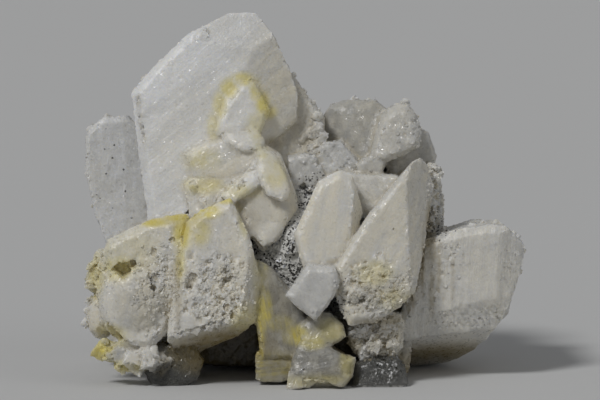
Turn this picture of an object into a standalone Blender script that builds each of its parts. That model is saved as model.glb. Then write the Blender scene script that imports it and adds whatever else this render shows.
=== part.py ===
"""A white crystal cluster on galena and sphalerite ore: blocky crystals grown together round a lump of grey ore.

X runs to the right of the front view, Y away from the viewer and Z up. Each crystal's table is in millimetres.
Two solids come out: the crystals, grown together as one piece, and the lump of ore that they grew on.
"""

import math
import random

import bmesh
import bpy
from mathutils import Euler, Matrix, Vector, noise
from mathutils.bvhtree import BVHTree

# Driving dimensions, in millimetres
MM = 0.001
FLOOR_Z = 0.0
ORE_CENTRE = (3.0, 9.0, 39.0)
ORE_RADII = (35.0, 35.0, 32.0)
ORE_ROUGHNESS = 2.0
ORE_BREAKS = 26
ORE_SEED = 5
ORE_CLEARANCE = 0.35
RHOMB_SHEAR = 0.22
FLAT_ANGLE = math.radians(0.5)

CRYSTAL_COLOUR = (0.78, 0.77, 0.72, 1.0)
ORE_COLOUR = (0.33, 0.33, 0.32, 1.0)


def clear_scene():
    for obj in list(bpy.data.objects):
        bpy.data.objects.remove(obj, do_unlink=True)


def new_collection(name, helper=False):
    collection = bpy.data.collections.new(name)
    bpy.context.scene.collection.children.link(collection)
    collection.hide_render = helper
    return collection


def new_material(name, colour, roughness, metallic=0.0):
    material = bpy.data.materials.new(name)
    material.use_nodes = True
    shader = material.node_tree.nodes["Principled BSDF"]
    shader.inputs["Base Color"].default_value = colour
    shader.inputs["Roughness"].default_value = roughness
    shader.inputs["Metallic"].default_value = metallic
    return material


def add_object(name, form, collection):
    """Makes an object of a bmesh that is in millimetres."""
    bmesh.ops.recalc_face_normals(form, faces=form.faces)
    bmesh.ops.scale(form, vec=(MM, MM, MM), verts=form.verts)
    mesh = bpy.data.meshes.new(name)
    form.to_mesh(mesh)
    form.free()
    obj = bpy.data.objects.new(name, mesh)
    collection.objects.link(obj)
    return obj


def wrap(form):
    """Puts the tightest convex skin round the points, with each flat face as one polygon."""
    skin = bmesh.ops.convex_hull(form, input=form.verts, use_existing_faces=False)
    left_over = skin["geom_interior"] + skin["geom_unused"]
    loose = {item for item in left_over if isinstance(item, bmesh.types.BMVert)}
    bmesh.ops.delete(form, geom=list(loose), context="VERTS")
    bmesh.ops.dissolve_limit(form, angle_limit=FLAT_ANGLE, verts=form.verts, edges=form.edges)


def cut_facet(form, point, normal):
    """Grinds one flat face: all that lies beyond the plane goes."""
    everything = list(form.verts) + list(form.edges) + list(form.faces)
    bmesh.ops.bisect_plane(form, geom=everything, plane_co=point, plane_no=normal, clear_outer=True)
    bmesh.ops.holes_fill(form, edges=form.edges, sides=0)


def crystal(name, outline, front, depth, lean=0.0, turn=0.0, rim=2.0, taper=0.75, facets=()):
    """A convex crystal given by the outline (x, z) that its face shows to the front.

    The face stands at y = front, leans back by lean per millimetre of height, and turns by turn per millimetre
    of width. A bevel of the width rim runs round it, and its hidden end is smaller by taper. Facets are planes,
    each a point and a normal.
    """
    middle_x = sum(x for x, z in outline) / len(outline)
    middle_z = sum(z for x, z in outline) / len(outline)
    reach = sum(math.hypot(x - middle_x, z - middle_z) for x, z in outline) / len(outline)
    form = bmesh.new()
    for x, z in outline:
        out_x, out_z = x - middle_x, z - middle_z
        slope = lean * out_z + turn * out_x
        for share, y in ((1 - rim / reach, front), (1.0, front + 0.8 * rim), (taper, front + depth)):
            form.verts.new((middle_x + share * out_x, y + share * slope, middle_z + share * out_z))
    wrap(form)
    for point, normal in facets:
        cut_facet(form, Vector(point), Vector(normal).normalized())
    return add_object(name, form, growth)


def rhomb_form(size, turned, low=(-0.5, -0.5, -0.5), high=(0.5, 0.5, 0.5)):
    """A cleavage rhomb: a cube leaned over along each axis, turned by a rotation matrix.

    Low and high are the corners of the part that is made, in shares of the whole rhomb.
    """
    form = bmesh.new()
    bmesh.ops.create_cube(form, size=1.0)
    for vert in form.verts:
        x, y, z = (start + (step + 0.5) * (end - start) for start, end, step in zip(low, high, vert.co))
        leaned = Vector((x + RHOMB_SHEAR * z, y + RHOMB_SHEAR * x, z + RHOMB_SHEAR * y))
        vert.co = turned @ Vector(side * step for side, step in zip(size, leaned))
    return form


def rhomb(name, centre, size, degrees, raised=(), missing=()):
    """A large rhomb crystal by its centre, its three sides and its turn about X, Y and Z.

    Raised and missing corners are growth steps, parallel to it: each is the corner's three signs, the share of the
    sides that it covers, and how far it stands out in millimetres.
    """
    turned = Euler([math.radians(a) for a in degrees]).to_matrix()
    whole = rhomb_form(size, turned)
    bmesh.ops.translate(whole, vec=centre, verts=whole.verts)
    add_object(name, whole, growth)
    for label, corners, collection in (("raised", raised, growth), ("missing", missing, hollows)):
        for number, (signs, reach, rise) in enumerate(corners):
            outer = [sign * (0.5 + rise / side) for sign, side in zip(signs, size)]
            inner = [sign * (0.5 - reach) for sign in signs]
            low, high = zip(*(sorted(ends) for ends in zip(outer, inner)))
            step = rhomb_form(size, turned, low, high)
            bmesh.ops.translate(step, vec=centre, verts=step.verts)
            add_object(f"{name}_{label}_{number}", step, collection)


def along(path, share):
    """The point at a share of the length of a path of straight runs."""
    points = [Vector(p) for p in path]
    runs = [(b - a).length for a, b in zip(points, points[1:])]
    left = share * sum(runs)
    for start, end, run in zip(points, points[1:], runs):
        if left <= run:
            return start.lerp(end, left / run)
        left -= run
    return points[-1]


def nearest_face(place):
    """The nearest point on the skin of any crystal made so far."""
    best = None
    for obj in growth.objects:
        points = [vert.co / MM for vert in obj.data.vertices]
        skin = BVHTree.FromPolygons(points, [tuple(face.vertices) for face in obj.data.polygons])
        point, normal, index, distance = skin.find_nearest(place)
        if best is None or distance < best[1]:
            best = (point, distance)
    return best[0]


def studs(name, path, count, smallest, largest, scatter, seed, degrees=(8, 30, 0), wander=14):
    """Small rhombs grown along a path, each half sunk in the nearest crystal.

    They lie nearly parallel, as steps of one growth: degrees is their common turn, wander what each may stray.
    """
    dice = random.Random(seed)
    for number in range(count):
        place = along(path, (number + dice.uniform(0.2, 0.8)) / count)
        place += Vector(dice.uniform(-scatter, scatter) for axis in range(3))
        side = dice.uniform(smallest, largest)
        turned = Euler([math.radians(angle + dice.uniform(-wander, wander)) for angle in degrees]).to_matrix()
        form = rhomb_form((side, side * dice.uniform(0.7, 1.1), side * dice.uniform(0.8, 1.6)), turned)
        bmesh.ops.translate(form, vec=nearest_face(place), verts=form.verts)
        add_object(f"{name}_{number:02d}", form, growth)


def knobs(name, places, seed, wander=35):
    """Broken-looking knobs: for each (x, y, z, radius) a blocky rhomb, turned its own way."""
    dice = random.Random(seed)
    for number, (x, y, z, radius) in enumerate(places):
        size = [radius * dice.uniform(1.35, 1.75) for axis in range(3)]
        rhomb(f"{name}_{number}", (x, y, z), size, [dice.uniform(-wander, wander) for axis in range(3)])


def lump(name, centre, radii, detail=2):
    """A rounded lump, such as the bulge on the lower left crystal."""
    form = bmesh.new()
    bmesh.ops.create_icosphere(form, subdivisions=detail, radius=1.0)
    place = Matrix.Translation(centre) @ Matrix.Diagonal((*radii, 1.0))
    bmesh.ops.transform(form, matrix=place, verts=form.verts)
    return add_object(name, form, growth)


def hollow(name, centre, size, degrees=(0, 0, 0)):
    """A small rhomb cutter that leaves a flat-sided pit."""
    form = rhomb_form(size, Euler([math.radians(a) for a in degrees]).to_matrix())
    bmesh.ops.translate(form, vec=centre, verts=form.verts)
    return add_object(name, form, hollows)


def pitted(name, low, high, face, count, smallest, largest, seed):
    """Pits scattered over a rectangle of a front face: low and high are (x, z), face gives y there."""
    dice = random.Random(seed)
    for number in range(count):
        x, z = dice.uniform(low[0], high[0]), dice.uniform(low[1], high[1])
        side = dice.uniform(smallest, largest)
        size = (side, side * dice.uniform(0.8, 1.2), side * dice.uniform(0.6, 1.1))
        hollow(f"{name}_{number:02d}", (x, face(x, z), z), size, [dice.uniform(0, 90) for axis in range(3)])


def tall_crystal():
    """The largest crystal, upper left, its set-back flank, and the plates that grew in steps on its front."""
    outline = [(-57.5, 93.5), (-49, 103.5), (-38.5, 113), (-25, 120.2), (-16, 120.2), (-9.8, 111.8)]
    outline += [(-4.0, 99.5), (-1.5, 93), (-1.5, 84), (-14, 43), (-51, 45)]
    right_flank = ((-12, -10, 96), (0.34, -0.94, 0.0))
    top_flank = ((-22, -9, 114), (0.05, -0.88, 0.47))
    lower_edge = ((-12, -12, 76.5), (0.63, -0.05, -0.78))
    crystal("tall", outline, -14, 44, lean=0.14, rim=3.0, facets=(right_flank, top_flank, lower_edge))
    root = [(-52, 80), (-51, 45), (-14, 43), (-8, 60), (-14, 76)]
    crystal("tall_root", root, -14.6, 34, lean=0.14, rim=1.6)
    flank = [(-12, 104), (-4, 98.5), (2, 90.5), (6.5, 84.5), (6.5, 75)]
    flank += [(-1, 60), (-6, 56), (-14, 60), (-16, 80)]
    crystal("flank", flank, -4, 30, lean=0.14, turn=0.10, rim=2.0)
    plate = [(-56, 92.5), (-38, 111), (-32.5, 115.5), (-31, 111), (-32.5, 100), (-44.5, 84), (-53, 76)]
    crystal("tall_plate", plate, -13.0, 6, lean=0.14, rim=0.7)
    arch = [(-30, 81), (-27, 92), (-21, 98), (-17, 98), (-11, 88), (-15, 79), (-24, 77.5)]
    crystal("arch", arch, -17, 16, lean=0.22, turn=0.06, rim=2.6)
    upper_step = [(-39.5, 74), (-33, 78), (-16, 79.5), (-12, 76), (-14, 70), (-26, 65), (-36.5, 66)]
    crystal("upper_step", upper_step, -19.5, 16, lean=0.2, rim=2.2)
    arch_foot = [(-27, 81.5), (-18, 82.5), (-13, 79), (-14, 75.5), (-21, 75), (-27, 78)]
    crystal("arch_foot", arch_foot, -20, 12, lean=0.5, turn=0.05, rim=1.6)
    lower_step = [(-40, 64.5), (-36, 67), (-22, 69), (-15, 72.5), (-12, 68), (-16, 58)]
    lower_step += [(-26, 51.5), (-38, 52.5)]
    crystal("lower_step", lower_step, -21, 16, lean=0.2, rim=2.0)
    dome = [(-16, 79), (-8, 74.5), (-3, 62), (-2, 56), (-7, 45), (-14, 42), (-22, 52), (-23, 60)]
    crystal("dome", dome, -22.5, 26, lean=0.16, turn=0.12, rim=3.4)
    ridge = [(-28, 60.5), (-21, 66.5), (-14, 71), (-11.5, 69), (-16, 63), (-23, 58.5)]
    crystal("dome_ridge", ridge, -24.4, 14, lean=0.5, rim=1.6)
    shell = [(-15.5, 76), (-11, 75), (-6.5, 69), (-4.5, 62), (-7, 58.5), (-13, 61), (-16, 68)]
    crystal("dome_shell", shell, -24.4, 14, lean=0.42, turn=0.25, rim=1.8)
    low = [(-22, 56), (-15, 58.5), (-8, 54), (-6, 49.5), (-9, 45.5), (-14, 43.5), (-20, 50)]
    crystal("dome_low", low, -24.4, 14, lean=0.5, turn=0.15, rim=1.8)
    studs("ledges", [(-38, -21, 63), (-30, -22, 58), (-20, -24, 66)], 5, 2.2, 4.0, 0.8, 14, (8, -32, 0), 8)
    studs("tall_left_edge", [(-57, -6, 92), (-38, -2, 111), (-24, 0, 119)], 8, 1.0, 2.0, 1.0, 11)
    studs("tall_right_edge", [(-12, 2, 112), (-3, 2, 96), (5, 2, 85)], 9, 1.2, 2.6, 1.2, 12)
    studs("flank_edge", [(4, -4, 86), (5, -4, 78), (2, -5, 70)], 5, 2.0, 3.6, 1.2, 13, (8, 30, 0), 8)


def left_slab():
    """The grey slab behind the left edge of the tall crystal."""
    outline = [(-59, 85.5), (-68, 84.5), (-73, 79), (-73, 67), (-70, 52), (-66, 42), (-52, 40), (-50, 76)]
    crystal("left_slab", outline, -4, 32, lean=0.05, turn=0.08, rim=1.6, taper=0.85)
    studs("slab_edge", [(-60, 0, 85), (-70, 0, 83), (-73, 2, 74), (-70, 2, 52)], 9, 1.2, 2.4, 0.8, 21)


def left_block():
    """The lower left crystal, with a rounded bulge, two hollows and a row of knobs under it."""
    outline = [(-64, 47.5), (-50, 54.5), (-38, 56), (-38, 41), (-45, 17), (-50, 12)]
    outline += [(-60, 12), (-67, 22), (-69, 36)]
    left_flank = ((-62, -37, 34), (-0.60, -0.80, 0.0))
    crystal("left_block", outline, -38, 46, lean=0.13, rim=3.0, facets=(left_flank,))
    lump("bulge", (-54.5, -32.5, 27.0), (13.0, 9.5, 14.5), detail=3)
    lump("left_lobe", (-66.6, -27, 21.5), (5.4, 7.0, 8.0))
    lump("left_knob_high", (-68.2, -26, 33.5), (3.8, 5.0, 4.6))
    lump("left_knob_top", (-66, -27, 41), (3.4, 5.0, 3.6))
    row = [(-66, -35, 11.8, 3.0), (-62.5, -36, 9.6, 2.7), (-59.5, -38, 11.5, 3.2), (-58.5, -36, 7.4, 2.6)]
    row += [(-55.5, -38, 9.8, 3.7), (-54.5, -37, 5.8, 2.8), (-51, -38, 9.4, 4.0), (-48.5, -38, 7.5, 3.6)]
    knobs("knob", row, 34)
    studs("knob_steps", [(-67, -36, 13), (-60, -39, 9), (-49, -40, 7)], 12, 1.5, 2.8, 1.4, 35)
    studs("left_steps", [(-67, -29, 44), (-70, -29, 34), (-70, -28, 20)], 10, 1.8, 3.4, 1.0, 33)
    hollow("star_hollow", (-59.5, -37.5, 38), (5.0, 8.0, 3.6), (0, 35, 0))
    hollow("star_hollow_arm", (-57.0, -37.5, 39.5), (4.6, 7.0, 2.2), (0, -20, 0))
    hollow("under_bulge", (-63.0, -40, 17.0), (7.0, 12.0, 4.0), (0, 40, 0))
    hollow("under_bulge_tail", (-57.5, -43, 13.6), (7.0, 9.0, 2.6), (0, 22, 0))
    pitted("left_pit", (-50, 32), (-42, 48), lambda x, z: -38.6 + 0.13 * (z - 33), 5, 1.6, 3.0, 31)


def middle_block():
    """The block right of the left one, pitted low down, with a dark undercut."""
    outline = [(-38, 54), (-34, 57.5), (-24, 61.5), (-18, 49.5), (-14, 34), (-16, 20)]
    outline += [(-22, 14), (-38, 6), (-45, 14), (-41, 40)]
    right_bevel = ((-18.5, -41, 35), (0.80, -0.60, 0.0))
    undercut = ((-30, -42, 20.5), (0.22, -0.55, -0.80))
    crystal("middle_block", outline, -42, 48, lean=0.13, rim=2.6, facets=(right_bevel, undercut))
    pitted("block_pit", (-39, 23), (-20, 43), lambda x, z: -42.6 + 0.13 * (z - 34), 20, 1.6, 3.4, 41)
    hollow("block_notch", (-37, -42.5, 34.5), (2.4, 4.5, 5.5), (0, 15, 0))
    studs("undercut_edge", [(-42, -42, 18), (-31, -42, 19.5), (-20, -41, 24.5)], 9, 1.6, 3.0, 0.8, 42)
    foot = [(-53, 10), (-52, 3), (-49.5, -1), (-41, -1), (-35, 1.5), (-32.5, 8), (-37, 14), (-48, 14)]
    crystal("left_foot", foot, -36.5, 30, lean=0.1, rim=1.8)
    recess = [(-38, 14), (-14, 18), (-14, 1.5), (-30, 1.5), (-38, 2.5)]
    crystal("recess", recess, -6, 26, rim=2.0, taper=0.9)


def centre_column():
    """The ribbed column left of the middle on its yellowed foot, and the white blocks and lobes beside it."""
    outline = [(-15.5, 41), (-11, 38.5), (-2, 27), (2, 19), (-2, 11), (-4, 9), (-14.5, 9), (-16, 20)]
    crystal("column", outline, -37, 40, lean=0.10, rim=1.4)
    foot = [(-16, 11), (-4, 11.5), (-4, 2), (-8, 0.9), (-14, 0.9), (-16.5, 2)]
    crystal("column_foot", foot, -36.5, 34, lean=-0.05, rim=0.8)
    small = [(0.3, 40.4), (9.8, 39.8), (11.3, 35), (9.8, 30), (3.2, 22), (-2, 26), (-6.6, 30)]
    crystal("small_white", small, -45, 24, lean=0.10, turn=-0.05, rim=2.0, taper=0.8)
    shoulder = [(2, 24), (8, 24.5), (12, 20.5), (13.5, 16.5), (10, 14.2), (6, 14), (-2, 10), (-2, 20)]
    crystal("shoulder", shoulder, -41, 26, lean=0.25, rim=1.8)
    lobed = [(-1.7, 15.5), (-4.6, 9), (-5.2, 5), (-2, 2.5), (8, 2.8), (14.4, 5), (15.2, 8), (13.2, 10.6)]
    lobed += [(8.5, 13.2), (3, 15.5)]
    crystal("lobed", lobed, -44.5, 18, lean=0.25, rim=1.8, taper=0.85)
    lobes = [(-2.4, -42.5, 3.2, 3.8), (0.8, -41.5, 2.4, 3.0), (5.4, -42, 3.6, 2.4), (11.0, -42, 3.4, 3.8)]
    lobes += [(12.8, -40.5, 7.8, 3.6)]
    knobs("lobe", lobes, 44, 22)
    crystal("low_foot", [(-3, 8), (11, 8), (11, -1), (-3, -1)], -40, 26, rim=1.5, taper=0.9)
    crystal("low_back", [(-10, 22), (36, 22), (34, 1.5), (-8, 1.5)], -20, 34, rim=1.5, taper=0.9)


def blades():
    """The two cream crystals right of the middle, and the rough block under the pointed one."""
    short = [(11.5, 70), (15.5, 68), (19.5, 55), (17, 50), (11, 40), (4, 37.5)]
    short += [(-1, 38.5), (-4, 49), (4, 66)]
    short_side = ((15.2, -32, 56), (0.88, -0.47, 0.0))
    crystal("short_blade", short, -33, 34, lean=0.13, turn=0.05, rim=2.2, facets=(short_side,))
    pointed = [(38, 74.5), (41, 72), (43, 65), (40.5, 52), (35.5, 37), (36, 31), (31, 26), (23, 21)]
    pointed += [(14, 20), (10, 28), (9, 38), (21, 56.5), (31, 68.5), (35, 73)]
    pointed_side = ((33.5, -36, 50), (0.80, -0.60, 0.12))
    pointed_tip = ((36, -33, 68), (-0.1, -0.82, 0.55))
    facets = (pointed_side, pointed_tip)
    crystal("pointed_blade", pointed, -37, 38, lean=0.16, turn=0.06, rim=2.4, facets=facets)
    under = [(14, 22), (25, 24), (31.5, 23), (31.5, 10), (26, 8.5), (18, 8.5), (14, 13)]
    crystal("under_block", under, -34, 34, lean=-0.05, rim=1.6)
    root_path = [(13, -38, 33), (20, -39, 28), (29, -37, 30), (22, -38, 24)]
    studs("rough_root", root_path, 12, 2.0, 4.4, 1.6, 51, (10, 12, 4))
    under_path = [(16, -34, 18), (29, -34, 20), (19, -34, 12), (29, -34, 13)]
    studs("rough_under", under_path, 9, 2.2, 4.4, 1.4, 52, (0, 8, -6))
    pitted("root_pit", (13, 34), (30, 44), lambda x, z: -38.4 + 0.16 * (z - 47), 6, 1.6, 3.0, 53)


def upper_right_group():
    """The shaded crystals behind the blades, upper right, and the sugary strip down their right side."""
    broad = [(5, 83.5), (8, 87.8), (13, 90), (24, 90), (28.5, 86), (29, 73)]
    broad += [(25, 62), (14, 60), (7, 62), (4, 73)]
    left_facet = ((15, 1, 80), (-0.45, -0.89, 0.0))
    crystal("broad", broad, 0, 34, lean=0.28, rim=2.6, facets=(left_facet,))
    middle = [(25, 85.5), (29.5, 89.6), (34, 89.4), (37.2, 86), (39, 80.5), (38, 75)]
    middle += [(32, 72), (25, 69), (21, 70), (23, 79)]
    crystal("middle_top", middle, -6, 28, lean=0.22, turn=-0.05, rim=2.8)
    right = [(33, 79), (38, 80.8), (41.5, 79.5), (44.5, 71), (43, 66), (40, 61), (30, 60), (27, 68)]
    crystal("right_top", right, 2, 30, lean=0.1, rim=2.0)
    small = [(18.5, 71), (24, 73), (26.5, 69), (25, 64), (18, 63), (15.5, 67)]
    crystal("small_top", small, -8, 18, lean=0.15, rim=1.2)
    wedge = [(14, 67), (22, 66), (31, 66), (32, 63), (23, 51), (18, 52), (15, 58)]
    crystal("wedge", wedge, -14, 24, lean=0.25, rim=1.0, taper=0.9)
    grey = [(-6, 72), (0, 73.5), (4.5, 72), (6.5, 66), (3, 59), (-3, 52), (-4, 60)]
    crystal("grey_nook", grey, -10, 24, lean=0.1, rim=1.2, taper=0.9)
    filler = [(1, 76), (12, 77), (18, 70), (15, 61), (5, 60), (1, 66)]
    crystal("nook_back", filler, -7, 20, lean=0.2, rim=1.2, taper=0.9)
    hollow("nook_hole", (5, -9, 71), (2.2, 5.0, 3.2))
    hollow("nook_hole_low", (-0.5, -11, 62), (2.8, 4.5, 2.0), (0, 40, 0))
    strip = [(41, 71), (44.4, 67), (43.4, 59), (45.6, 49), (43, 44), (38, 47), (38, 62)]
    crystal("sugary_strip", strip, -16, 30, lean=0.05, rim=1.2)
    studs("sugar_high", [(42, -15, 70), (43, -16, 60), (42, -17, 50), (45, -14, 48)], 12, 1.8, 3.4, 1.2, 61)
    top_path = [(8, 6, 88), (20, 8, 91), (27, 4, 87), (33, 2, 89.5), (39, 2, 81)]
    studs("top_edge", top_path, 8, 1.2, 2.4, 0.8, 63)


def right_crystal():
    """The large crystal at the right, with a bright lower bevel and a ribbed underside."""
    outline = [(38, 46), (50, 49.8), (60, 51.2), (66, 50.8), (72.6, 44), (71.8, 38), (68.6, 28), (64.5, 18.6)]
    outline += [(57, 6), (48, -1), (34, -2), (31, 20), (36, 30)]
    bevel = ((52, -24.3, 23), (0.10, -0.93, -0.36))
    underside = ((50, -20, 14.5), (0.12, -0.45, -0.88))
    right_flank = ((64, -24, 35), (0.50, -0.87, 0.0))
    facets = (bevel, underside, right_flank)
    crystal("right_crystal", outline, -25, 44, lean=0.02, turn=0.02, rim=2.6, taper=0.88, facets=facets)
    studs("right_ledges", [(36, -22, 44), (37, -23, 34), (34, -22, 24)], 9, 2.0, 4.2, 0.8, 72, (4, 6, 0), 6)
    spur = [(62, 24), (68, 26), (67.5, 20), (64, 17)]
    crystal("right_spur", spur, -12, 18, rim=1.0)
    studs("right_edge", [(52, -14, 51), (66, -14, 50), (71, -10, 40), (67, -10, 22)], 9, 1.2, 2.4, 0.8, 71)
    low = [(15, 7), (21, 9.5), (30, 9.5), (32.5, 6), (33.5, 1), (31, -2), (24, -2), (15, 0)]
    crystal("low_grey", low, -38.5, 36, lean=0.45, rim=1.6)


def back_crystals():
    """The side that the front view hides: stepped rhombs that close the cluster round the ore, and its heels."""
    rhomb("back_tall", (-27, 22, 72), (30, 24, 44), (10, 8, 14),
          raised=[((1, 1, -1), 0.60, 1.2), ((-1, 1, 1), 0.55, 1.0), ((-1, 1, 1), 0.34, 2.2)])
    rhomb("back_peak", (-24, 22, 88), (18, 15, 20), (20, -14, 35), raised=[((-1, 1, -1), 0.6, 1.2)])
    rhomb("back_left", (-49, 20, 48), (26, 28, 36), (6, -10, 24),
          raised=[((-1, 1, 1), 0.60, 1.0), ((-1, 1, 1), 0.36, 2.0), ((1, 1, -1), 0.45, 1.2)])
    rhomb("back_left_low", (-44, 20, 18), (32, 32, 28), (-8, 4, -18),
          raised=[((-1, 1, 1), 0.58, 1.2), ((1, 1, 1), 0.34, 1.8)], missing=[((-1, 1, -1), 0.22, 2.0)])
    rhomb("back_right", (45, 14, 26), (30, 32, 24), (4, 4, -24),
          raised=[((1, 1, 1), 0.62, 1.2), ((1, 1, 1), 0.40, 2.4)], missing=[((1, 1, -1), 0.20, 2.0)])
    rhomb("back_right_low", (34, 22, 13), (30, 28, 22), (4, -6, 16), raised=[((-1, 1, 1), 0.55, 1.4)])
    rhomb("back_top", (17, 24, 62), (28, 24, 30), (14, -16, -14),
          raised=[((1, 1, -1), 0.55, 1.2), ((-1, 1, 1), 0.42, 1.8)], missing=[((1, 1, 1), 0.22, 2.0)])
    rhomb("back_low", (-4, 31, 9), (32, 22, 18), (0, 8, 6), raised=[((-1, 1, 1), 0.46, 1.4)])
    rhomb("back_small", (-31, 38, 52), (14, 14, 18), (24, 30, 12))
    rhomb("back_small_low", (12, 38, 22), (12, 13, 15), (-20, 34, 40))
    studs("back_ridge", [(-30, 40, 62), (-34, 40, 34), (-30, 38, 22)], 9, 3.0, 6.5, 2.0, 81)
    studs("back_ridge_right", [(30, 36, 58), (34, 36, 34), (30, 36, 24)], 9, 3.0, 6.5, 2.0, 82)
    studs("back_bed", [(-20, 38, 18), (2, 42, 17), (22, 38, 18)], 7, 2.5, 5.0, 1.5, 83)


def ore_form(grown):
    """The lump of ore: a ball broken along flat planes, with a rough skin. Grown moves the skin out, for a seat."""
    dice = random.Random(ORE_SEED)
    breaks = []
    for number in range(ORE_BREAKS):
        normal = Vector((dice.gauss(0, 1), dice.gauss(0, 1), dice.gauss(0, 1))).normalized()
        breaks.append((normal, dice.uniform(0.84, 1.0)))
    form = bmesh.new()
    bmesh.ops.create_icosphere(form, subdivisions=3, radius=1.0)
    for vert in form.verts:
        way = vert.co.normalized()
        reach = min([1.0] + [share / max(0.05, way.dot(normal)) for normal, share in breaks])
        rough = ORE_ROUGHNESS * noise.noise(5.1 * way)
        vert.co = Vector(centre + (reach * radius + grown + rough) * step
                         for centre, radius, step in zip(ORE_CENTRE, ORE_RADII, way))
    return form


def floor_cutter():
    """A block under the standing plane, which trims the feet flat."""
    form = bmesh.new()
    bmesh.ops.create_cube(form, size=1.0)
    place = Matrix.Translation((0, 0, FLOOR_Z - 20)) @ Matrix.Diagonal((300, 300, 40, 1))
    bmesh.ops.transform(form, matrix=place, verts=form.verts)
    return add_object("floor_cutter", form, cutters)


def boolean(obj, label, operation, other):
    modifier = obj.modifiers.new(label, "BOOLEAN")
    modifier.operation = operation
    modifier.solver = "EXACT"
    if isinstance(other, bpy.types.Collection):
        modifier.operand_type = "COLLECTION"
        modifier.collection = other
    else:
        modifier.object = other


def finished(obj, name, material, collection):
    """The evaluated shape of an object as a plain mesh object of its own."""
    graph = bpy.context.evaluated_depsgraph_get()
    mesh = bpy.data.meshes.new_from_object(obj.evaluated_get(graph))
    made = bpy.data.objects.new(name, mesh)
    mesh.name = name
    mesh.materials.clear()
    mesh.materials.append(material)
    collection.objects.link(made)
    return made


def centre_on_base(objects):
    """Moves the finished solids so that the origin lies under their middle, on the standing plane."""
    corners = [vert.co for obj in objects for vert in obj.data.vertices]
    low = Vector(min(c[axis] for c in corners) for axis in range(3))
    high = Vector(max(c[axis] for c in corners) for axis in range(3))
    shift = Vector((-(low.x + high.x) / 2, -(low.y + high.y) / 2, -low.z))
    for obj in objects:
        obj.data.transform(Matrix.Translation(shift))
    print("shift in mm:", [round(1000 * s, 2) for s in shift])


clear_scene()
specimen = new_collection("white_crystal_cluster_on_ore")
growth = new_collection("growth", helper=True)
hollows = new_collection("hollows", helper=True)
cutters = new_collection("cutters", helper=True)

tall_crystal()
left_slab()
left_block()
middle_block()
centre_column()
blades()
upper_right_group()
right_crystal()
back_crystals()

seed_crystal = bpy.data.objects["tall"]
growth.objects.unlink(seed_crystal)
cutters.objects.link(seed_crystal)
floor = floor_cutter()
ore_seat = add_object("ore_seat", ore_form(ORE_CLEARANCE), cutters)
ore_lump = add_object("ore_lump", ore_form(0.0), cutters)

boolean(seed_crystal, "grown_together", "UNION", growth)
boolean(seed_crystal, "pits", "DIFFERENCE", hollows)
boolean(seed_crystal, "seat_of_the_ore", "DIFFERENCE", ore_seat)
boolean(seed_crystal, "standing_plane", "DIFFERENCE", floor)
boolean(ore_lump, "standing_plane", "DIFFERENCE", floor)

white = new_material("white_crystal", CRYSTAL_COLOUR, 0.45)
grey = new_material("ore", ORE_COLOUR, 0.6, 0.2)
crystals = finished(seed_crystal, "white_crystals", white, specimen)
ore = finished(ore_lump, "galena_sphalerite_ore", grey, specimen)
centre_on_base([crystals, ore])

for helper_collection in (growth, hollows, cutters):
    for helper in list(helper_collection.objects):
        bpy.data.objects.remove(helper, do_unlink=True)
    bpy.data.collections.remove(helper_collection)
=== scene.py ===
# %% [markdown]
# # A white crystal cluster on galena and sphalerite ore
#
# The specimen is a hand-sized cluster of blocky white crystals, grown into each other round a lump of grey
# ore. The CAD frame already has every crystal as flat faces. Here the faces get what makes them look grown:
# low waves, growth steps, ribs, a sugary skin, pits, and a crust of tiny rhombs, with stains, painted shade
# in the hollows, under the blocks and on the low crystals, and a painted highlight along the edges. We start
# with the frame and its box, because the finished pieces have to stay inside that box.

# %% Load the frame
import math

import bmesh
import bpy
import numpy as np
from mathutils import Euler, Matrix, Vector
from mathutils.bvhtree import BVHTree
from mathutils.kdtree import KDTree


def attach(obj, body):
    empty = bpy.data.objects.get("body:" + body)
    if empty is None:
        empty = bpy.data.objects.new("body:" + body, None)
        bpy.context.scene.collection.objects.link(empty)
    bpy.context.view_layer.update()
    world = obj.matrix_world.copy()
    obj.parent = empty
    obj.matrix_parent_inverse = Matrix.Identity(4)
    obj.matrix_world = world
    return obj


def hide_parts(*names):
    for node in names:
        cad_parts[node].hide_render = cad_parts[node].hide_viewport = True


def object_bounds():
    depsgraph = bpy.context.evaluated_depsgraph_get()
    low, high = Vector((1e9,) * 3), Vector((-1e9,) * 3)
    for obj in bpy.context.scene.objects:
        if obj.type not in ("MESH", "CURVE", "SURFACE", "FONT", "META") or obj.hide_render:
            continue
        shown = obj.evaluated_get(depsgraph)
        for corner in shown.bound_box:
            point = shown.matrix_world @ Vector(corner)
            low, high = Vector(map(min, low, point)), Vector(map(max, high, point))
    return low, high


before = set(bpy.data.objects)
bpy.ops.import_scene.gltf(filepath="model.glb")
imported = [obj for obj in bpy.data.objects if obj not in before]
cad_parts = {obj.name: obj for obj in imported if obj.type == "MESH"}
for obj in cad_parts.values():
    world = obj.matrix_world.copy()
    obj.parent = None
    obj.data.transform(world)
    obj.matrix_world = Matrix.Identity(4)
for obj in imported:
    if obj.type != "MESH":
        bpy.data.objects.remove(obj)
cad_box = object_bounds()
MM = 0.001
print("The frame's nodes:", sorted(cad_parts))
print("The CAD box in mm:", [[round(1000 * c, 1) for c in corner] for corner in cad_box])

# %% [markdown]
# ## Places on the specimen
#
# A stain or a pitted patch is named by where it is, in millimetres from the middle of the front view's
# sheet. X runs right, Y away from the viewer and Z up. One shift takes such a place into the frame.

# %% Places in millimetres
SHEET_SHIFT_MM = np.array([0.19, -2.80, 0.0])


def place(x, y, z):
    """A place in millimetres as a point of the frame in metres."""
    return (np.array([x, y, z]) + SHEET_SHIFT_MM) * MM


# %% [markdown]
# ## Helpers for node trees
#
# Both the shapes and the finishes are made with nodes. Small helpers keep that readable: one adds a node and
# joins its inputs, and others do a piece of arithmetic or lay out a pattern, in the tree that their sockets
# are in. One more makes the empty tree of a shape, with named inputs.

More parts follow.
